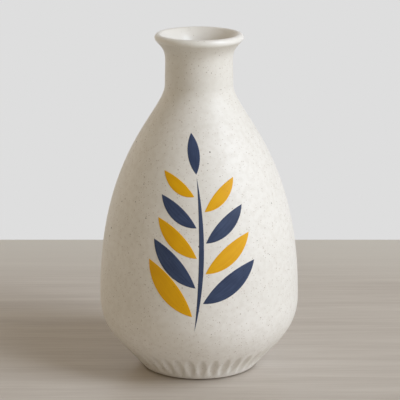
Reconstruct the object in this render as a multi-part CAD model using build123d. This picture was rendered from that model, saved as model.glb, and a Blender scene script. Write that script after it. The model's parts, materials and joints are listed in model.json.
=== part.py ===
from build123d import *
import math
import os

# A stoneware bottle vase with a fluted foot and a sprig of leaves painted on its front.
# Millimetres, +Z up, origin at the middle of the table circle, the painted front along -Y.

# Outline of the glazed vase: radius and height of each station
height = 220.0
rim_radius = 28.4
wall = 5.1
foot_radius = 38.1
glaze_line = 1.0
belly_radius = 65.0
belly_height = 46.7
neck_radius = 21.9
neck_drop = 32.6

# How far the curves run straight out of each station, as shares of the rise to the next one
foot_slope = 51.0
lip_angle = -46.0
foot_pull = 0.46
belly_pull_down = 0.46
belly_pull_up = 0.685
neck_pull_down = 0.13
neck_pull_up = 0.66
lip_pull = 0.39

# Coats of glaze and paint
coat = 0.4
liner = 0.4
paint = 0.2

# Floor of the cavity and the underside
floor_height = 8.0
floor_radius = 20.0
floor_pull = 0.4
foot_inset = 3.0
ring_width = 8.0
ring_bevel = 1.5
base_recess = 2.0

# Flutes round the foot, measured along the wall from the glaze line
flute_count = 40
flute_depth = 1.2
flute_land = 1.6
flute_length = 19.0
flute_centre = 11.5
flute_turn = 2.0

# Painted sprig: distances round the front from the middle, and heights up from the table
stem_low = 42.0
stem_high = 138.0
stem_low_shift = -3.0
stem_bow = 1.5
stem_high_shift = -1.5
stem_stroke = 3.2
leaf_count = 9
first_leaf = 0.1
last_leaf = 0.88
leaf_angle = 47.0
leaf_gap = 1.2
leaf_curl = 1.5
low_leaf_length = 45.0
low_leaf_width = 13.0
high_leaf_length = 24.0
high_leaf_width = 7.5


def station(radius, up):
    return Vector(radius, 0, up)


def left_normal(start, end):
    # Points into the clay on an outline that runs up the outside
    run = (end - start).normalized()
    return Vector(-run.Z, 0, run.X)


def sunk(span, depth):
    # A span moved into the clay: each leg of its control points is shifted and the legs meet again
    normals = [left_normal(start, end) for start, end in zip(span, span[1:])]
    moved = [span[0] + normals[0] * depth]
    for point, before, after in zip(span[1:], normals, normals[1:]):
        moved.append(point + (before + after) * (depth / (1 + before.dot(after))))
    moved.append(span[-1] + normals[-1] * depth)
    return moved


def turned(edges):
    return revolve(make_face(edges), axis=Axis.Z)


# Stations and the three spans of the outside, from the glaze line up to the lip roll
lip_radius = wall / 2
neck_height = height - neck_drop
foot = station(foot_radius, glaze_line)
belly = station(belly_radius, belly_height)
neck = station(neck_radius, neck_height)
lip_centre = station(rim_radius - lip_radius, height - lip_radius)
lip_out = station(math.cos(math.radians(lip_angle)), math.sin(math.radians(lip_angle)))
lip_along = station(-lip_out.Z, lip_out.X)
flare_end = lip_centre + lip_out * lip_radius

foot_along = station(math.cos(math.radians(foot_slope)), math.sin(math.radians(foot_slope)))
up = Vector(0, 0, 1)
low_rise = belly_height - glaze_line
high_rise = neck_height - belly_height
flare_rise = flare_end.Z - neck_height

lower_span = [
    foot,
    foot + foot_along * foot_pull * low_rise,
    belly - up * belly_pull_down * low_rise,
    belly,
]
upper_span = [
    belly,
    belly + up * belly_pull_up * high_rise,
    neck - up * neck_pull_down * high_rise,
    neck,
]
flare_span = [
    neck,
    neck + up * neck_pull_up * flare_rise,
    flare_end - lip_along * lip_pull * flare_rise,
    flare_end,
]


def outside(depth):
    # The outer outline at a depth under the glazed face, foot to lip
    return [sunk(span, depth) for span in (lower_span, upper_span, flare_span)]


def inside(depth):
    # The cavity's outline at a depth under the glazed outer face, floor to lip
    upper, flare = [sunk(span, depth) for span in (upper_span, flare_span)]
    floor_edge = station(floor_radius, floor_height - (wall - depth))
    spread = upper[0].X - floor_radius
    bowl = [
        floor_edge,
        floor_edge + Vector(1, 0, 0) * floor_pull * spread,
        upper[0] - up * belly_pull_down * low_rise,
        upper[0],
    ]
    return [bowl, upper, flare]


def curves(spans):
    return [Bezier(*span) for span in spans]


def lip_arc(outer_depth, inner_depth):
    # Rolls over the lip from the outer outline to the cavity's outline
    start = outside(outer_depth)[-1][-1]
    end = inside(inner_depth)[-1][-1]
    crest = lip_centre + lip_along * (lip_radius - (wall - inner_depth))
    return ThreePointArc(start, crest, end)


# Clay: wall, floor, foot ring with a recessed base
clay_outside = outside(coat)
clay_inside = inside(wall - liner)
ring_outer = clay_outside[0][0].X - foot_inset
clay_edges = curves(clay_outside) + [lip_arc(coat, wall - liner)] + curves(clay_inside)
clay_edges.append(
    Polyline(
        clay_inside[0][0],
        station(0, clay_inside[0][0].Z),
        station(0, base_recess),
        station(ring_outer - ring_width - ring_bevel, base_recess),
        station(ring_outer - ring_width, 0),
        station(ring_outer, 0),
        clay_outside[0][0],
    )
)
clay = turned(clay_edges)

# Speckled coat outside, up to where the flare meets the lip roll: a blank the clay is taken out of
coat_face = outside(0)
blank_back = outside(wall / 2)
coat_edges = curves(coat_face) + curves(blank_back)
coat_edges.append(Line(coat_face[0][0], blank_back[0][0]))
coat_edges.append(Line(coat_face[-1][-1], blank_back[-1][-1]))
coat_blank = turned(coat_edges)

# Glossy liner inside and over the lip roll
liner_face = inside(wall)
liner_edges = curves(liner_face) + curves(clay_inside)
liner_edges += [lip_arc(0, wall), lip_arc(coat, wall - liner)]
liner_edges.append(Line(coat_face[-1][-1], clay_outside[-1][-1]))
liner_edges.append(
    Polyline(
        liner_face[0][0],
        station(0, liner_face[0][0].Z),
        station(0, clay_inside[0][0].Z),
        clay_inside[0][0],
    )
)
inner_glaze = turned(liner_edges)

# Flutes: a round-nosed wheel plunged into the wall, once for each flute
lower_edge = Bezier(*lower_span)
flute_share = flute_centre / lower_edge.length
flute_point = lower_edge @ flute_share
flute_run = lower_edge % flute_share
flute_out = Vector(flute_run.Z, 0, -flute_run.X)
flute_pitch = math.tau * flute_point.X / flute_count


def chord_radius(chord):
    return ((chord / 2) ** 2 + flute_depth**2) / (2 * flute_depth)


def flutes(depth):
    # The wheel grows with the depth, so the grooves of two layers stay parallel
    wheel_radius = chord_radius(flute_length)
    nose_radius = chord_radius(flute_pitch - flute_land)
    wheel = Torus(wheel_radius - nose_radius, nose_radius + depth)
    centre = flute_point + flute_out * (wheel_radius - flute_depth)
    reach = Box(flute_pitch - flute_land / 2, 2 * flute_length, 4 * (flute_depth + depth))
    at_wall = Plane(flute_point, x_dir=(0, 1, 0), z_dir=flute_out)
    cutter = (Pos(centre) * Rot(90, 0, 0) * wheel) & (at_wall * reach)
    step = 360 / flute_count
    return [Rot(0, 0, flute_turn - 90 + step * index) * cutter for index in range(flute_count)]


clay -= flutes(coat)
outer_glaze = coat_blank - flutes(0) - clay


# Paint: flat outlines drawn on the front, pushed through a thin skin over the coat
paint_face = outside(-paint)
paint_edges = curves(coat_face) + curves(paint_face)
paint_edges.append(Line(coat_face[0][0], paint_face[0][0]))
paint_edges.append(Line(coat_face[-1][-1], paint_face[-1][-1]))
paint_skin = turned(paint_edges)


def front(point):
    # Where a point of the flat drawing lies when the drawing is wrapped round the belly
    return (belly_radius * math.sin(point.X / belly_radius), point.Y)


def brush_mark(start, end, middle, left_swell, right_swell):
    # One stroke: two arcs that part at the start, swell either side of the middle and meet at the end
    along = (end - start).normalized()
    left = Vector(-along.Y, along.X)
    left_edge = ThreePointArc(front(start), front(middle + left * left_swell), front(end))
    right_edge = ThreePointArc(front(start), front(middle - left * right_swell), front(end))
    outline = make_face([left_edge, right_edge])
    return extrude(Plane.XZ * outline, amount=belly_radius + wall) & paint_skin


stem_start = Vector(stem_low_shift, stem_low)
stem_middle = Vector(stem_bow, (stem_low + stem_high) / 2)
stem_end = Vector(stem_high_shift, stem_high)
stem_line = ThreePointArc(stem_start, stem_middle, stem_end)


def leaf(base, along, length, width, curl):
    tip = base + along * length
    middle = base + along * (length / 2)
    return brush_mark(base, tip, middle, width / 2 + curl, width / 2 - curl)


def side_leaf(index):
    # Leaves take turns left and right up the stem and get smaller towards its end
    share = index / (leaf_count - 1)
    place = first_leaf + (last_leaf - first_leaf) * share
    side = 1 if index % 2 else -1
    run = stem_line % place
    right = Vector(run.Y, -run.X)
    base = stem_line @ place + right * side * (stem_stroke / 2 + leaf_gap)
    along = run.rotate(Axis.Z, -side * leaf_angle)
    length = low_leaf_length + (high_leaf_length - low_leaf_length) * share
    width = low_leaf_width + (high_leaf_width - low_leaf_width) * share
    return leaf(base, along, length, width, -side * leaf_curl)


def tip_leaf():
    run = stem_line % 1
    return leaf(stem_end + run * leaf_gap, run, high_leaf_length, high_leaf_width, 0)


nodes = {"stoneware_body": clay, "outer_glaze": outer_glaze, "inner_glaze": inner_glaze}
nodes["stem"] = brush_mark(stem_start, stem_end, stem_middle, stem_stroke / 2, stem_stroke / 2)
for index in range(leaf_count):
    nodes[f"leaf_{index + 1}"] = side_leaf(index)
nodes["tip_leaf"] = tip_leaf()

os.makedirs("parts", exist_ok=True)
for name, shape in nodes.items():
    export_step(shape, f"parts/{name}.step")
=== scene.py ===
# %% [markdown]
# # A stoneware bottle vase, dressed in Blender
# The CAD model holds every size of the vase: a thin clay bottle, a speckled coat of glaze outside,
# a glossy liner inside and a painted sprig on the front. It is loaded first and stays fixed.
# Blender adds what plain solids lack: softer flutes, a rounded glaze edge, raised paint and the
# finish of every surface. Each new piece takes the place of the CAD solid that it stands for.

# %% Load the CAD model
import json
import math

import bpy
import numpy as np
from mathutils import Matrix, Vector
from mathutils.geometry import interpolate_bezier


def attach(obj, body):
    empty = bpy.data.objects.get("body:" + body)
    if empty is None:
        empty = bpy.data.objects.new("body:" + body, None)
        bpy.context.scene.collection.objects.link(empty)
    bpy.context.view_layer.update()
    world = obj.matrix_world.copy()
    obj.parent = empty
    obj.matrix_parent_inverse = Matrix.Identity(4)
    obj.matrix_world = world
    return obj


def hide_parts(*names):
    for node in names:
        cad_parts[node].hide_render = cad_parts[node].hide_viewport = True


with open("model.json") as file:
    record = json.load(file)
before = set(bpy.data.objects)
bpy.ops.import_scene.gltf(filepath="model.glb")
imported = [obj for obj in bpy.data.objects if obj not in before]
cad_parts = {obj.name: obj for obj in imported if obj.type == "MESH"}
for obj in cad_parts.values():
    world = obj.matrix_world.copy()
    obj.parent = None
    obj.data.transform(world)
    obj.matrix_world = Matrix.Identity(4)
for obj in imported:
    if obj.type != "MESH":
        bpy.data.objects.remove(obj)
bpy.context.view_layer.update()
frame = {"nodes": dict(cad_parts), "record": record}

MM = 0.001

# %% [markdown]
# ## Sums that turn into nodes
# Shapes and finishes below are node trees. Dozens of Math nodes wired by hand are hard to read,
# so one small class wraps a socket: adding or multiplying two wrapped sockets adds the Math node
# that does it, and a single method adds every other kind of node.

# %% A wrapped socket
class Wire:
    """A value that runs through a node tree."""

    def __init__(self, tree, socket):
        self.tree = tree
        self.socket = socket

    def node(self, kind, settings=None, sockets=None, output=0):
        """Adds a node: its settings first, then a value or a link for each named socket."""
        made = self.tree.nodes.new(kind)
        for name, value in (settings or {}).items():
            setattr(made, name, value)
        for name, value in (sockets or {}).items():
            if isinstance(value, Wire):
                value.into(made.inputs[name])
            else:
                made.inputs[name].default_value = value
        return Wire(self.tree, made.outputs[output])

    def into(self, socket):
        self.tree.links.new(self.socket, socket)

    def output(self, name):
        """Another output of the node that this value comes from."""
        return Wire(self.tree, self.socket.node.outputs[name])

    def math(self, operation, first, second=0.0):
        return self.node("ShaderNodeMath", {"operation": operation}, {0: first, 1: second})

    def vector(self, operation, first, second, third=(0, 0, 0), output=0):
        values = {0: first, 1: second, 2: third}
        return self.node("ShaderNodeVectorMath", {"operation": operation}, values, output)

    def __add__(self, other):
        return self.math("ADD", self, other)

    def __radd__(self, other):
        return self.math("ADD", other, self)

    def __sub__(self, other):
        return self.math("SUBTRACT", self, other)

    def __rsub__(self, other):
        return self.math("SUBTRACT", other, self)

    def __mul__(self, other):
        return self.math("MULTIPLY", self, other)

    def __rmul__(self, other):
        return self.math("MULTIPLY", other, self)

    def __truediv__(self, other):
        return self.math("DIVIDE", self, other)

    def least(self, other):
        return self.math("MINIMUM", self, other)

    def step(self, low, high):
        """Rises smoothly from 0 at low to 1 at high."""
        values = {"Value": self, "From Min": low, "From Max": high}
        return self.node("ShaderNodeMapRange", {"interpolation_type": "SMOOTHSTEP"}, values)

    def tint(self, low, high):
        """Goes from one colour to another as this value goes from 0 to 1."""
        return self.node("ShaderNodeMix", {"data_type": "RGBA"}, {0: self, 6: low, 7: high}, 2)


print("operators ready:", [name for name in vars(Wire) if name.startswith("__r")])

# %% [markdown]
# ## Trees that make meshes
# A Geometry Nodes tree is given named inputs, like the sizes on a drawing. Its modifier is filled
# in by each socket's identifier, evaluated once and then thrown away: what is kept is a plain mesh
# at the origin, which every exporter can read.

# %% Make a tree, and grow a mesh with it
def new_tree(name, inputs):
    """An empty tree: gives the tree, its inputs as wires and its output socket."""
    tree = bpy.data.node_groups.new(name, "GeometryNodeTree")
    tree.interface.new_socket("Mesh", in_out="OUTPUT", socket_type="NodeSocketGeometry")
    for label, kind in inputs.items():
        tree.interface.new_socket(label, in_out="INPUT", socket_type="NodeSocket" + kind)
    source = tree.nodes.new("NodeGroupInput")
    result = tree.nodes.new("NodeGroupOutput")
    wires = {label: Wire(tree, source.outputs[label]) for label in inputs}
    return tree, wires, result.inputs["Mesh"]


def grow(name, start, tree, values):
    """Runs a tree on a start mesh and keeps the outcome as a plain mesh object."""
    piece = bpy.data.objects.new(name, start)
    bpy.context.scene.collection.objects.link(piece)
    modifier = piece.modifiers.new("shape", "NODES")
    modifier.node_group = tree
    for item in tree.interface.items_tree:
        if item.in_out == "INPUT" and item.name in values:
            modifier[item.identifier] = values[item.name]
    depsgraph = bpy.context.evaluated_depsgraph_get()
    grown = piece.evaluated_get(depsgraph)
    mesh = bpy.data.meshes.new_from_object(grown, preserve_all_data_layers=True, depsgraph=depsgraph)
    piece.modifiers.remove(modifier)
    if mesh.materials[0] is None:  # the grid's own empty slot
        mesh.materials.pop(index=0)
    piece.data = mesh
    mesh.name = name
    return piece


def enclosed(mesh):
    """Volume inside a closed mesh: above zero when its faces point outwards."""
    mesh.calc_loop_triangles()
    corners = np.empty(len(mesh.vertices) * 3)
    mesh.vertices.foreach_get("co", corners)
    triangles = np.empty(len(mesh.loop_triangles) * 3, int)
    mesh.loop_triangles.foreach_get("vertices", triangles)
    first, second, third = corners.reshape(-1, 3)[triangles.reshape(-1, 3)].transpose(1, 0, 2)
    return float((first * np.cross(second, third)).sum() / 6)


print("tree helpers ready")

# %% [markdown]
# ## The outline that the potter's rib would follow
# A wheel-thrown bottle is one outline swept round an axis. Three curves make it: out from the foot
# to the belly, up the long shoulder to the neck, and out again to a rolled lip. Radius and height
# of each station are the CAD model's, in millimetres. The pulls say how far a curve runs straight
# out of a station before it bends, as shares of the rise to the next one.

# %% Stations and pulls
height = 220.0
rim_radius = 28.4
wall = 5.1
foot_radius = 38.1
glaze_line = 1.0
belly_radius = 65.0
belly_height = 46.7
neck_radius = 21.9
neck_height = 187.4
floor_height = 8.0
floor_radius = 20.0
coat = 0.4
liner = 0.4

foot_slope = 51.0
lip_angle = -46.0
foot_pull = 0.46
belly_pull_down = 0.46
belly_pull_up = 0.685
neck_pull_down = 0.13
neck_pull_up = 0.66
lip_pull = 0.39
floor_pull = 0.4


def station(radius, up):
    return Vector((radius, up))


def heading(degrees):
    return Vector((math.cos(math.radians(degrees)), math.sin(math.radians(degrees))))


up = heading(90)
out = heading(0)
lip_radius = wall / 2
lip_centre = station(rim_radius - lip_radius, height - lip_radius)
lip_end = lip_centre + heading(lip_angle) * lip_radius
foot = station(foot_radius, glaze_line)
belly = station(belly_radius, belly_height)
neck = station(neck_radius, neck_height)
print("lip roll:", 2 * lip_radius, "mm thick, centred", tuple(round(x, 2) for x in lip_centre))

# %% The three curves, and the same curves deeper in the wall
low_rise = belly_height - glaze_line
high_rise = neck_height - belly_height
flare_rise = lip_end.y - neck_height

lower_span = [
    foot,
    foot + heading(foot_slope) * foot_pull * low_rise,
    belly - up * belly_pull_down * low_rise,
    belly,
]
upper_span = [
    belly,
    belly + up * belly_pull_up * high_rise,
    neck - up * neck_pull_down * high_rise,
    neck,
]
flare_span = [
    neck,
    neck + up * neck_pull_up * flare_rise,
    lip_end - heading(lip_angle + 90) * lip_pull * flare_rise,
    lip_end,
]


def sunk(span, depth):
    """A curve moved into the wall: each leg of its control points shifts, and the legs meet again."""
    normals = []
    for start, end in zip(span, span[1:]):
        run = (end - start).normalized()
        normals.append(Vector((-run.y, run.x)))
    moved = [span[0] + normals[0] * depth]
    for point, before, after in zip(span[1:], normals, normals[1:]):
        moved.append(point + (before + after) * (depth / (1 + before.dot(after))))
    moved.append(span[-1] + normals[-1] * depth)
    return moved


def outside(depth):
    """The outer curves at a depth under the glazed face, foot to lip."""
    return [sunk(span, depth) for span in (lower_span, upper_span, flare_span)]


def inside(depth):
    """The cavity's curves at a depth under the glazed outer face, floor to lip."""
    upper, flare = [sunk(span, depth) for span in (upper_span, flare_span)]
    edge = station(floor_radius, floor_height - (wall - depth))
    spread = upper[0].x - floor_radius
    bowl = [edge, edge + out * floor_pull * spread, upper[0] - up * belly_pull_down * low_rise, upper[0]]
    return [bowl, upper, flare]


def traced(spans, steps):
    """Points along a chain of curves, each joint counted once."""
    points = []
    for span, count in zip(spans, steps):
        points += interpolate_bezier(*span, count + 1)[:-1]
    return points + [spans[-1][-1]]


def arc(centre, radius, start, end, steps):
    """Points along an arc between two headings, both ends left out."""
    turn = (end - start) / steps
    return [centre + heading(start + turn * index) * radius for index in range(1, steps)]


print("outline rises", round(low_rise), "+", round(high_rise), "+", round(flare_rise), "mm")

# %% [markdown]
# ## The tree that throws the pot
# One tree turns any outline: a grid has a row for each outline point and a column for each step
# round the axis, and every grid point is sent to its place on the wheel. The flutes are pressed
# into the soft clay in the same step, as a formula: a shallow dish, repeated round the foot, with
# its brim softened the way glaze pools over an edge. The dish fades out a few millimetres into the
# wall, so the cavity behind it stays smooth. Modelling forty grooves by hand would give the same
# shape with far more work, and could not be resized.

# %% The turning tree: a grid wrapped round the axis
turning, given, turned_mesh = new_tree(
    "turning",
    {
        "Outline": "Geometry",
        "Steps round": "Int",
        "Flutes": "Int",
        "Flute depth": "Float",
        "Flute half width": "Float",
        "Flute half rise": "Float",
        "Flute middle": "Float",
        "Flute radius": "Float",
        "Flute reach": "Float",
        "Flute slope": "Float",
        "Flute turn": "Float",
        "Brim softness": "Float",
        "Finish": "Material",
    },
)
outline = given["Outline"]
points = outline.node("GeometryNodeAttributeDomainSize", {}, {"Geometry": outline})
columns = given["Steps round"] + 1
grid = outline.node("GeometryNodeMeshGrid", {}, {"Vertices X": points, "Vertices Y": columns})
index = outline.node("GeometryNodeInputIndex")
row = outline.math("FLOOR", index / columns)
column = index - row * columns
spot = outline.node("GeometryNodeInputPosition")
sampled = outline.node(
    "GeometryNodeSampleIndex",
    {"data_type": "FLOAT_VECTOR"},
    {"Geometry": outline, "Value": spot, "Index": row},
)
radius = outline.node("ShaderNodeSeparateXYZ", {}, {"Vector": sampled})
rise = radius.output("Z")
angle = column / given["Steps round"] * -math.tau
print("wrapping takes", len(turning.nodes), "nodes")

# %% The flutes, as a formula
flute_share = (angle - given["Flute turn"]) * given["Flutes"] / math.tau
off_middle = (flute_share - outline.math("ROUND", flute_share)) * math.tau / given["Flutes"]
across = off_middle * radius / given["Flute half width"]
along = (rise - given["Flute middle"]) / given["Flute half rise"]
dish = 1 - along * along - across * across
softness = given["Brim softness"]
soft_dish = (dish + outline.math("SQRT", dish * dish + softness * softness)) / 2
lean_out = outline.math("SINE", given["Flute slope"])
lean_up = outline.math("COSINE", given["Flute slope"])
buried = (given["Flute radius"] - radius) * lean_out + (rise - given["Flute middle"]) * lean_up
skin = 1 - buried.step(given["Flute reach"] * 0.6, given["Flute reach"])
dip = given["Flute depth"] * soft_dish * skin
dipped_radius = radius - dip * lean_out
dipped_rise = rise + dip * lean_up
place = outline.node(
    "ShaderNodeCombineXYZ",
    {},
    {
        "X": dipped_radius * outline.math("COSINE", angle),
        "Y": dipped_radius * outline.math("SINE", angle),
        "Z": dipped_rise,
    },
)
print("with the flutes it has", len(turning.nodes), "nodes")

# %% Weld, smooth and finish
WELD = 0.0001 * MM
SHARP = math.radians(50)


def finished(shape, finish, result):
    """Welds seams and poles, smooths all but the sharp edges and ends a tree in its finish."""
    welded = shape.node("GeometryNodeMergeByDistance", {}, {"Geometry": shape, "Distance": WELD})
    smooth = shape.node("GeometryNodeSetShadeSmooth", {}, {"Geometry": welded})
    bend = shape.node("GeometryNodeInputMeshEdgeAngle")
    sharp = shape.math("GREATER_THAN", bend, SHARP)
    creased = shape.node(
        "GeometryNodeSetShadeSmooth",
        {"domain": "EDGE"},
        {"Geometry": smooth, "Selection": sharp, "Shade Smooth": False},
    )
    realized = shape.node("GeometryNodeRealizeInstances", {}, {"Geometry": creased})
    coated = shape.node("GeometryNodeSetMaterial", {}, {"Geometry": realized, "Material": finish})
    coated.into(result)


bent = outline.node("GeometryNodeSetPosition", {}, {"Geometry": grid, "Position": place})
finished(bent, given["Finish"], turned_mesh)
print("turning tree:", len(turning.nodes), "nodes")

# %% [markdown]
# ## Finishes, written as they would be mixed
# Every colour below is written as its 8-bit screen value and changed to the linear light that
# Blender mixes in. Patterns are read from Object coordinates, so a speck stays where it is in the
# glaze from any side, and their sizes are real millimetres.

# %% Helpers for finishes
def screen(red, green, blue):
    """A colour as seen on screen, as linear light."""
    linear = []
    for level in (red, green, blue):
        share = level / 255
        linear.append(share / 12.92 if share <= 0.04045 else ((share + 0.055) / 1.055) ** 2.4)
    return (*linear, 1.0)


def new_finish(name):
    """An empty material: gives it, its shader and a wire of Object coordinates."""
    finish = bpy.data.materials.new(name)
    finish.use_nodes = True
    shader = finish.node_tree.nodes["Principled BSDF"]
    coordinates = finish.node_tree.nodes.new("ShaderNodeTexCoord")
    return finish, shader, Wire(finish.node_tree, coordinates.outputs["Object"])


def clouds(place, size, detail=2.0, roughness=0.5):
    """Soft random patches about as wide as size, in millimetres, from 0 to 1."""
    values = {"Vector": place, "Scale": 1 / (size * MM), "Detail": detail, "Roughness": roughness}
    return place.node("ShaderNodeTexNoise", {}, values)


def grains(place, spacing, largest, edge):
    """Grains scattered through the glaze: 1 in a grain, 0 outside it. Sizes in millimetres."""
    cells = place.node("ShaderNodeTexVoronoi", {}, {"Vector": place, "Scale": 1 / (spacing * MM)})
    lot = place.node("ShaderNodeSeparateColor", {}, {"Color": cells.output("Color")})
    return (lot * (largest / spacing) - cells).step(0, edge / spacing)


def relief(height, depth):
    """Turns a height from 0 to 1 into a bump of that many millimetres."""
    return height.node("ShaderNodeBump", {}, {"Height": height, "Distance": depth * MM})


print("a mid grey of 128 is", round(screen(128, 128, 128)[0], 3), "in linear light")

# %% [markdown]
# ## Speckled glaze
# The outside is a satin oatmeal glaze over a clay with iron in it. In the kiln the iron bleeds
# through as brown specks: many tiny pale ones, fewer clear ones and now and then a dark one.
# Three sizes of Voronoi grains give that scatter. Broad clouds vary the cream tone as a dipped
# coat does, the coat is painted darker and warmer from the shoulder up to the lip as painted shade
# under the lip roll, and a very fine bump breaks the sheen.

# %% The speckled glaze
def speckled_glaze():
    finish, shader, place = new_finish("satin_speckled_glaze")
    tone = clouds(place, 45, 3)
    cream = tone.step(0.3, 0.7).tint(screen(228, 225, 218), screen(234, 231, 225))
    mottle = clouds(place, 3.5, 2).step(0.35, 0.75)
    cream = (mottle * 0.35).tint(cream, screen(212, 206, 196))
    rise = place.node("ShaderNodeSeparateXYZ", {}, {"Vector": place}, "Z")
    # Painted shade: darker and warmer from the shoulder up to the lip, where the lip shades the neck
    cream = (rise.step(150 * MM, 215 * MM) * 0.5).tint(cream, screen(217, 212, 202))
    pepper = grains(place, 1.5, 0.5, 0.2)
    specks = grains(place, 2.6, 0.52, 0.2)
    iron = grains(place, 8.0, 0.72, 0.2)
    colour = (pepper * 0.4).tint(cream, screen(150, 126, 98))
    colour = (specks * 0.5).tint(colour, screen(128, 102, 76))
    colour = (iron * 0.75).tint(colour, screen(84, 64, 48))
    colour.into(shader.inputs["Base Color"])
    (0.46 + mottle * 0.08 + specks * 0.08).into(shader.inputs["Roughness"])
    skin = clouds(place, 0.9, 2) * 0.6 + clouds(place, 6, 2) - specks * 0.5 - iron * 0.5
    relief(skin, 0.05).into(shader.inputs["Normal"])
    return finish


glaze = speckled_glaze()
print("speckled glaze:", len(glaze.node_tree.nodes), "nodes")

# %% [markdown]
# ## The coat: the vase's whole outside
# The glaze is a skin 0.4 mm thick from just above the table to the lip roll, so it is turned as a
# closed shell: up its face, back down behind it, and round a small bead at the foot where glaze
# draws up before it sets. Rows are close together low down, where the flutes are.

# %% Sizes of the flutes, and a helper that turns any outline
flute_count = 40
flute_depth = 1.7
flute_land = 1.4
flute_length = 21.0
flute_middle = 10.8
flute_reach = 4.0
flute_turn = 2.0
brim_softness = 0.1


def outline_mesh(name, points):
    mesh = bpy.data.meshes.new(name)
    mesh.from_pydata([(point.x * MM, 0, point.y * MM) for point in points], [], [])
    return mesh


def turn(name, points, steps, finish, depth=0.0):
    """Turns an outline into a closed piece, with flutes of the given depth."""
    slope = math.radians(foot_slope)
    flute_radius = foot_radius + (flute_middle - glaze_line) / math.tan(slope)
    values = {
        "Steps round": steps,
        "Flutes": flute_count,
        "Flute depth": depth * MM,
        "Flute half width": (math.tau * flute_radius / flute_count - flute_land) / 2 * MM,
        "Flute half rise": flute_length / 2 * math.sin(slope) * MM,
        "Flute middle": flute_middle * MM,
        "Flute radius": flute_radius * MM,
        "Flute reach": flute_reach * MM,
        "Flute slope": slope,
        "Flute turn": math.radians(flute_turn - 90),
        "Brim softness": brim_softness,
        "Finish": finish,
    }
    return grow(name, outline_mesh(name + "_outline", points), turning, values)


print("flutes:", flute_count, "of", flute_length, "mm, pressed", flute_depth, "mm deep")

# %% Turn the coat
# Rows of faces along the foot, shoulder and neck curves, and columns round the axis
coat_rows = (60, 56, 22)
coat_back_rows = (40, 24, 12)
bead_rows = 5
fluted_columns = 10 * flute_count

coat_face = traced(outside(0), coat_rows)
coat_back = traced(outside(coat), coat_back_rows)
bead_centre = (coat_face[0] + coat_back[0]) / 2
bead = arc(bead_centre, coat / 2, foot_slope + 90, foot_slope + 270, bead_rows)
coat_outline = coat_face + coat_back[::-1] + bead + coat_face[:1]
speckled_coat = turn("speckled_coat", coat_outline, fluted_columns, glaze, flute_depth)
print("coat:", len(speckled_coat.data.polygons), "faces,", enclosed(speckled_coat.data) / MM**3, "mm3")

# %% [markdown]
# ## Glossy liner and lip
# Inside, and over the lip, a clear glossy glaze seals the pot so that it holds water. It is paler
# than the coat, nearly free of specks, and smooth enough to show soft reflections, so it gets its
# own finish with a low roughness. The same tree turns it: up the inside, over the lip roll and back
# down behind, between two poles on the axis.

# %% The liner's finish
def liner_glaze():
    finish, shader, place = new_finish("clear_liner_glaze")
    tone = clouds(place, 18, 3)
    cream = tone.step(0.3, 0.7).tint(screen(230, 227, 220), screen(236, 233, 227))
    specks = grains(place, 3.4, 0.5, 0.2)
    (specks * 0.4).tint(cream, screen(140, 112, 84)).into(shader.inputs["Base Color"])
    (0.24 + tone * 0.1).into(shader.inputs["Roughness"])
    relief(clouds(place, 5, 1), 0.04).into(shader.inputs["Normal"])
    return finish


gloss = liner_glaze()
print("liner glaze:", len(gloss.node_tree.nodes), "nodes")

# %% Turn the liner and the lip roll
liner_rows = (24, 36, 20)
liner_back_rows = (12, 18, 10)
lip_rows = 28
lip_back_rows = 14
plain_columns = 240

liner_face = [station(0, floor_height)] + traced(inside(wall), liner_rows)
liner_back = [station(0, floor_height - liner)] + traced(inside(wall - liner), liner_back_rows)
lip_face = arc(lip_centre, lip_radius, lip_angle + 180, lip_angle, lip_rows)
lip_back = arc(lip_centre, lip_radius - liner, lip_angle + 180, lip_angle, lip_back_rows)
joint = [lip_end, lip_end - heading(lip_angle) * coat]
liner_outline = liner_face + lip_face + joint + lip_back[::-1] + liner_back[::-1]
lip_and_liner = turn("lip_and_liner", liner_outline[::-1], plain_columns, gloss)
print("liner:", len(lip_and_liner.data.polygons), "faces,", enclosed(lip_and_liner.data) / MM**3, "mm3")

# %% [markdown]
# ## Paint finishes
# The sprig is brushed on in two ceramic colours, a navy and a mustard. Brushed colour is never
# even: it is thinner where the hairs part, so streaks run along the stroke. Each mark carries an
# attribute called stroke, its own length and width coordinates, and the streaks are noise that is
# stretched along it. Both colours are satin, and a few of the iron specks show through them.

# %% Navy and mustard
def brushed_paint(name, deep, thin, speck, share):
    finish, shader, place = new_finish(name)
    stroke = place.node("ShaderNodeAttribute", {"attribute_name": "stroke"}, {}, "Vector")
    hairs = place.node("ShaderNodeMapping", {}, {"Vector": stroke, "Scale": (0.06, 1, 1)})
    streaks = clouds(hairs, 0.9, 3, 0.6)
    pools = clouds(place, 9, 2)
    load = (streaks * 0.6 + pools * 0.4).step(0.3, 0.72)
    colour = load.tint(deep, thin)
    grain = grains(place, 3.1, 0.62, 0.2) * share
    grain.tint(colour, speck).into(shader.inputs["Base Color"])
    (0.4 + streaks * 0.12).into(shader.inputs["Roughness"])
    shader.inputs["Specular IOR Level"].default_value = 0.25
    relief(streaks * 0.7 + clouds(place, 0.9, 2) * 0.3, 0.05).into(shader.inputs["Normal"])
    return finish


navy = brushed_paint("brushed_navy", screen(44, 56, 84), screen(62, 76, 106), screen(30, 36, 54), 0.4)
mustard = brushed_paint(
    "brushed_mustard", screen(222, 162, 4), screen(232, 176, 12), screen(164, 108, 14), 0.45
)
print("paints:", navy.name, mustard.name)

# %% [markdown]
# ## The tree that lays a brush mark
# A brush mark is the space between two arcs that meet at both ends. The tree draws those arcs flat
# in front of the vase, spans them with a grid, and shoots each grid point at the wall along the
# line of sight: paint lands exactly on the curved glaze. The grid goes round the mark once,
# underneath and back over the top, so the film is a closed piece with a rounded edge.

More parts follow.
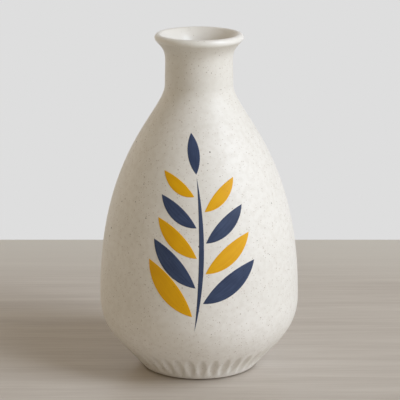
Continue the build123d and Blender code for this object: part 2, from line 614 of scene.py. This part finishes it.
# %% The brush tree: a grid that goes round the mark
brush, wanted, mark_mesh = new_tree(
    "brush_mark",
    {
        "Start": "Geometry",
        "Wall": "Object",
        "Low end": "Vector",
        "High end": "Vector",
        "Left edge": "Vector",
        "Right edge": "Vector",
        "Rows": "Int",
        "Columns": "Int",
        "Film": "Float",
        "Rounding": "Float",
        "Bed": "Float",
        "Number": "Float",
        "Finish": "Material",
    },
)
rows = wanted["Rows"] + 1
loop = wanted["Columns"] * 2 + 1
film_grid = rows.node("GeometryNodeMeshGrid", {}, {"Vertices X": rows, "Vertices Y": loop})
film_index = rows.node("GeometryNodeInputIndex")
film_row = rows.math("FLOOR", film_index / loop)
film_column = film_index - film_row * loop
share = 0.5 - 0.5 * rows.math("COSINE", film_row / wanted["Rows"] * math.pi)
breadth = 0.5 - 0.5 * rows.math("COSINE", film_column / wanted["Columns"] * math.pi)
under = rows.math("LESS_THAN", film_column, wanted["Columns"])
print("closed grid:", len(brush.nodes), "nodes")

# %% The mark's two edges, drawn flat in front of the vase
def edge_point(through):
    """Where the row meets the arc that runs from end to end through a point."""
    ends = {"Resolution": 128, "Start": wanted["Low end"], "End": wanted["High end"], "Middle": through}
    curve = rows.node("GeometryNodeCurveArc", {"mode": "POINTS"}, ends)
    values = {"Curves": curve, "Factor": share}
    return rows.node("GeometryNodeSampleCurve", {"mode": "FACTOR"}, values, "Position")


left = edge_point(wanted["Left edge"])
right = edge_point(wanted["Right edge"])
flat = rows.node("ShaderNodeMix", {"data_type": "VECTOR"}, {0: breadth, 4: left, 5: right}, 1)
width = rows.vector("DISTANCE", left, right, output="Value")
length = rows.vector("DISTANCE", wanted["Low end"], wanted["High end"], output="Value")
print("with its edges:", len(brush.nodes), "nodes")

# %% Shoot the mark at the wall and give it a thickness
REACH = 0.2
wall_mesh = rows.node("GeometryNodeObjectInfo", {}, {"Object": wanted["Wall"]}, "Geometry")
landed = rows.node(
    "GeometryNodeRaycast",
    {},
    {
        "Target Geometry": wall_mesh,
        "Source Position": rows.vector("ADD", flat, (0, -REACH, 0)),
        "Ray Direction": (0, 1, 0),
        "Ray Length": REACH,
    },
    "Hit Position",
)
from_edge = (breadth.least(1 - breadth) * width / wanted["Rounding"]).least(1)
swell = rows.math("SQRT", from_edge * (2 - from_edge))
top = wanted["Film"] * swell - wanted["Bed"]
bottom = 0 - wanted["Bed"] - wanted["Bed"] * swell
lift = top * (1 - under) + bottom * under
raised = rows.vector("MULTIPLY_ADD", landed.output("Hit Normal"), lift, landed)
print("laid on the wall:", len(brush.nodes), "nodes")

# %% Keep the stroke's own coordinates for the streaks
stroke = rows.node(
    "ShaderNodeCombineXYZ",
    {},
    {"X": share * length, "Y": breadth * length / 4, "Z": wanted["Number"]},
)
marked = rows.node(
    "GeometryNodeStoreNamedAttribute",
    {"data_type": "FLOAT_VECTOR", "domain": "POINT"},
    {"Geometry": film_grid, "Name": "stroke", "Value": stroke},
)
laid = rows.node("GeometryNodeSetPosition", {}, {"Geometry": marked, "Position": raised})
finished(laid, wanted["Finish"], mark_mesh)
print("brush tree:", len(brush.nodes), "nodes")

# %% [markdown]
# ## The painted sprig
# The places of the stem and its leaves come from their CAD solids: the two ends of a mark are its
# points farthest apart, and one point on each of its edges is enough to draw that edge as an arc.
# A very fine turning of the same outline serves as the wall to paint on, so that the paint is as
# smooth as the formula, and it is thrown away afterwards.

# %% Read a mark's four points from its CAD solid
def mark_points(node):
    """Low end, high end and a point on each edge of a painted mark, seen from the front."""
    corners = np.empty(len(node.data.vertices) * 3)
    node.data.vertices.foreach_get("co", corners)
    seen = corners.reshape(-1, 3)[:, [0, 2]]
    far = seen[np.argmax(np.linalg.norm(seen - seen.mean(0), axis=1))]
    other = seen[np.argmax(np.linalg.norm(seen - far, axis=1))]
    low, high = sorted((far, other), key=lambda point: point[1])
    run = high - low
    share = (seen - low) @ run / (run @ run)
    middle = np.abs(share - 0.5) < 0.25
    seen, share = seen[middle], share[middle]
    bow = (seen - low) @ np.array([-run[1], run[0]]) / (share * (1 - share))
    left, right = seen[bow.argmax()], seen[bow.argmin()]
    return [(float(x), 0.0, float(z)) for x, z in (low, high, left, right)]


print("stem runs from", [round(x / MM) for x in mark_points(frame["nodes"]["stem"])[0]], "mm")

# %% Lay the marks
paint_film = 0.2
paint_bed = 0.03
paint_rounding = 0.5
mark_rows = 96
mark_columns = 28
streak_shift = 0.07
wall_rows = (40, 240, 10)
wall_columns = 960

paint_of = {"navy_paint": navy, "mustard_paint": mustard}
paint_wall = turn("paint_wall", traced(outside(0), wall_rows), wall_columns, glaze)
marks = []
for part in frame["record"]["subparts"]:
    name, slot = part["node"], part["material_slot"]
    if slot not in paint_of:
        continue
    low_end, high_end, left_edge, right_edge = mark_points(frame["nodes"][name])
    values = {
        "Wall": paint_wall,
        "Low end": low_end,
        "High end": high_end,
        "Left edge": left_edge,
        "Right edge": right_edge,
        "Rows": mark_rows,
        "Columns": mark_columns,
        "Film": paint_film * MM,
        "Rounding": paint_rounding * MM,
        "Bed": paint_bed * MM,
        "Number": streak_shift * len(marks),
        "Finish": paint_of[slot],
    }
    mark = grow("painted_" + name, bpy.data.meshes.new(name + "_start"), brush, values)
    marks.append((mark, name, slot))
bpy.data.objects.remove(paint_wall)
for mark, name, slot in marks:
    print(name, slot, len(mark.data.polygons), "faces,", round(enclosed(mark.data) / MM**3, 1), "mm3")

# %% [markdown]
# ## Bare clay
# Only the foot ring and the recessed base are left unglazed, so that the pot doesn't stick to the
# kiln shelf. The finish is a matt buff clay with sand in it: two sizes of grains, and a bump that
# the fingers would feel. The body is turned like the coat and gets the same flutes, so the two
# stay parallel, and the edges of its foot ring are softened as a wet sponge leaves them.

# %% The clay's finish
def bare_clay():
    finish, shader, place = new_finish("sandy_buff_clay")
    tone = clouds(place, 14, 4).step(0.3, 0.7)
    buff = tone.tint(screen(186, 162, 132), screen(201, 180, 152))
    sand = grains(place, 1.3, 0.5, 0.2)
    iron = grains(place, 3.1, 0.6, 0.2)
    colour = (sand * 0.5).tint(buff, screen(214, 198, 174))
    (iron * 0.7).tint(colour, screen(110, 80, 56)).into(shader.inputs["Base Color"])
    (0.82 + tone * 0.1).into(shader.inputs["Roughness"])
    relief(sand * 0.6 + clouds(place, 0.6, 3) * 0.4, 0.15).into(shader.inputs["Normal"])
    return finish


clay = bare_clay()
print("bare clay:", len(clay.node_tree.nodes), "nodes")

# %% The foot ring with its sponged edges
foot_inset = 3.0
ring_width = 8.0
ring_bevel = 1.5
base_recess = 2.0
sponged = 0.6


def softened(corners, reach, steps=5):
    """A chain of straight lines whose corners are rounded off over a short reach."""
    points = corners[:1]
    for before, corner, after in zip(corners, corners[1:], corners[2:]):
        start = corner + (before - corner).normalized() * reach
        end = corner + (after - corner).normalized() * reach
        points += interpolate_bezier(start, (start + corner) / 2, (end + corner) / 2, end, steps)
    return points


clay_outside = outside(coat)
ring_outer = clay_outside[0][0].x - foot_inset
ring_inner = ring_outer - ring_width
base = softened(
    [
        station(0, base_recess),
        station(ring_inner - ring_bevel, base_recess),
        station(ring_inner, 0),
        station(ring_outer, 0),
        clay_outside[0][0],
    ],
    sponged,
)
print("foot ring from", round(ring_inner, 1), "to", round(ring_outer, 1), "mm from the axis")

# %% Turn the clay body
clay_rows = (60, 24, 12)
cavity_rows = (16, 20, 12)

clay_face = traced(clay_outside, clay_rows)
clay_lip = arc(lip_centre, lip_radius - coat, lip_angle, lip_angle + 180, lip_back_rows)
clay_cavity = traced(inside(wall - liner), cavity_rows)[::-1] + [station(0, floor_height - liner)]
clay_outline = base + clay_face + clay_lip + clay_cavity
clay_body = turn("clay_body", clay_outline, fluted_columns, clay, flute_depth)
print("clay:", len(clay_body.data.polygons), "faces,", enclosed(clay_body.data) / MM**3, "mm3")

# %% [markdown]
# ## Join the pieces to the CAD model
# The vase has one body, so every piece rides on it. Each new piece is listed with the CAD solid that
# it stands for, which is hidden, and with the slot of the record that its finish belongs to.

# %% Ride and replace
dressed = [
    (clay_body, "stoneware_body", "bare_clay"),
    (speckled_coat, "outer_glaze", "speckled_glaze"),
    (lip_and_liner, "inner_glaze", "liner_glaze"),
]
for piece, node, slot in dressed + marks:
    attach(piece, "root")
    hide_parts(node)
print("pieces:", [piece.name for piece, node, slot in dressed + marks])

# %% [markdown]
# ## A table and a plain pale background
# The vase stands on a pale table with a quiet grain. Its far edge, some 30 cm behind the vase, is
# painted paler as a painted sheen. The background is the world itself, so that no wall stands in
# the way of a view from behind. What the camera and glossy surfaces see is a plain pale grey. What
# lights the vase is a room that glows low down at the back left and the front right, and is dim
# overhead.

# %% The table
table_half = 0.2873
table_thick = 0.03


def pale_table():
    finish, shader, place = new_finish("pale_table")
    planks = place.node("ShaderNodeMapping", {}, {"Vector": place, "Scale": (0.04, 1, 1)})
    fibres = clouds(planks, 2.5, 4, 0.6)
    bands = clouds(planks, 14, 2)
    grain = (fibres * 0.5 + bands * 0.5).step(0.3, 0.7)
    wood = grain.tint(screen(190, 181, 171), screen(209, 202, 193))
    away = place.node("ShaderNodeSeparateXYZ", {}, {"Vector": place}, "Y")
    # Painted sheen: the wood is painted paler towards the table's far edge
    away.step(140 * MM, 290 * MM).tint(wood, screen(216, 212, 204)).into(shader.inputs["Base Color"])
    (0.3 + fibres * 0.1).into(shader.inputs["Roughness"])
    shader.inputs["Specular IOR Level"].default_value = 0.25
    relief(fibres, 0.1).into(shader.inputs["Normal"])
    return finish


ways = ((-1, -1), (1, -1), (1, 1), (-1, 1))
corners = [(x * table_half, y * table_half, z) for z in (0, -table_thick) for x, y in ways]
sides = [(i, 4 + i, 4 + (i + 1) % 4, (i + 1) % 4) for i in range(4)]
slab = bpy.data.meshes.new("table")
slab.from_pydata(corners, [], [(0, 1, 2, 3), (7, 6, 5, 4)] + sides)
slab.materials.append(pale_table())
table = bpy.data.objects.new("table", slab)
bpy.context.scene.collection.objects.link(table)
print("table:", 2 * table_half, "m square")

# %% The world behind and around it
left_wall = (2.2, 2.02, 1.78, 1)
right_wall = (2.0, 2.0, 2.0, 1)
overhead = (0.24, 0.18, 0.1, 1)
below = (0.45, 0.43, 0.38, 1)

world = bpy.data.worlds.new("studio")
bpy.context.scene.world = world
world.use_nodes = True
studio = world.node_tree
backdrop = studio.nodes["Background"]
backdrop.inputs["Color"].default_value = screen(222, 222, 222)
rays = Wire(studio, studio.nodes.new("ShaderNodeLightPath").outputs["Is Camera Ray"])
shown = rays.math("MAXIMUM", rays, rays.output("Is Glossy Ray"))
shown = rays.math("MAXIMUM", shown, rays.output("Is Transmission Ray"))

direction = rays.node("ShaderNodeTexCoord", {}, {}, "Generated")
to_right = rays.node("ShaderNodeSeparateXYZ", {}, {"Vector": direction})
to_back = to_right.output("Y")
upward = to_right.output("Z")
# Each of the next two sums is largest in the direction of one lit wall
front_right = to_right * 1.12 - to_back * 0.85
back_left = to_back * 1.1 - to_right * 0.88
lit_sides = rays.math("MAXIMUM", front_right, back_left).step(0.6, 1.4)
walls = (1 - upward.step(0.1, 0.5)) * lit_sides
wall_light = to_right.step(-0.5, 0.5).tint(left_wall, right_wall)
room = walls.tint(overhead, wall_light)
glow = upward.step(-0.15, 0).tint(below, room)
sky = rays.node("ShaderNodeBackground", {}, {"Color": glow, "Strength": 1.0})
plain = Wire(studio, backdrop.outputs["Background"])
mixed = rays.node("ShaderNodeMixShader", {}, {0: shown, 1: sky, 2: plain})
mixed.into(studio.nodes["World Output"].inputs["Surface"])
print("world: plain pale grey to the camera, a softly lit room to the vase")

# %% [markdown]
# ## Light and camera
# The light is that of a tall window on the right: one large soft lamp three metres away, a little
# in front of the vase and high enough to shine down on it at 35 degrees. The left side is lit only
# by the room and by what the table throws back. The camera looks slightly down with a long lens, as
# one would to photograph a small pot from a step away.

# %% The window lamp
window_place = (2.2, -1.08, 1.84)
window_aim = (0, 0, 0.11)
window_wide = 1.2
window_tall = 2.8
window_power = 65.5
window_colour = (0.91, 1.0, 1.13)


def soft_lamp(name, place, aim, wide, tall, power, colour):
    lamp = bpy.data.lights.new(name, "AREA")
    lamp.shape = "RECTANGLE"
    lamp.size = wide
    lamp.size_y = tall
    lamp.energy = power
    lamp.color = colour
    lit = bpy.data.objects.new(name, lamp)
    lit.location = place
    lit.rotation_euler = (Vector(aim) - Vector(place)).to_track_quat("-Z", "Y").to_euler()
    bpy.context.scene.collection.objects.link(lit)
    return lit


window = soft_lamp(
    "window", window_place, window_aim, window_wide, window_tall, window_power, window_colour
)
print("window lamp at", tuple(round(x, 2) for x in window.location))

# %% The camera
aim = Vector((0.0006, 0, 0.1104))
distance = 1.206
elevation = math.radians(14.98)
focal_length = 166.9
sensor_width = 36

lens = bpy.data.cameras.new("camera")
lens.sensor_width = sensor_width
lens.lens = focal_length
camera = bpy.data.objects.new("camera", lens)
camera.location = aim + Vector((0, -math.cos(elevation), math.sin(elevation))) * distance
camera.rotation_euler = (aim - camera.location).to_track_quat("-Z", "Y").to_euler()
bpy.context.scene.collection.objects.link(camera)
bpy.context.scene.camera = camera
bpy.context.scene.view_settings.view_transform = "Standard"
print("camera", round(distance, 3), "m away,", round(math.degrees(elevation), 1), "degrees above level")

# %% [markdown]
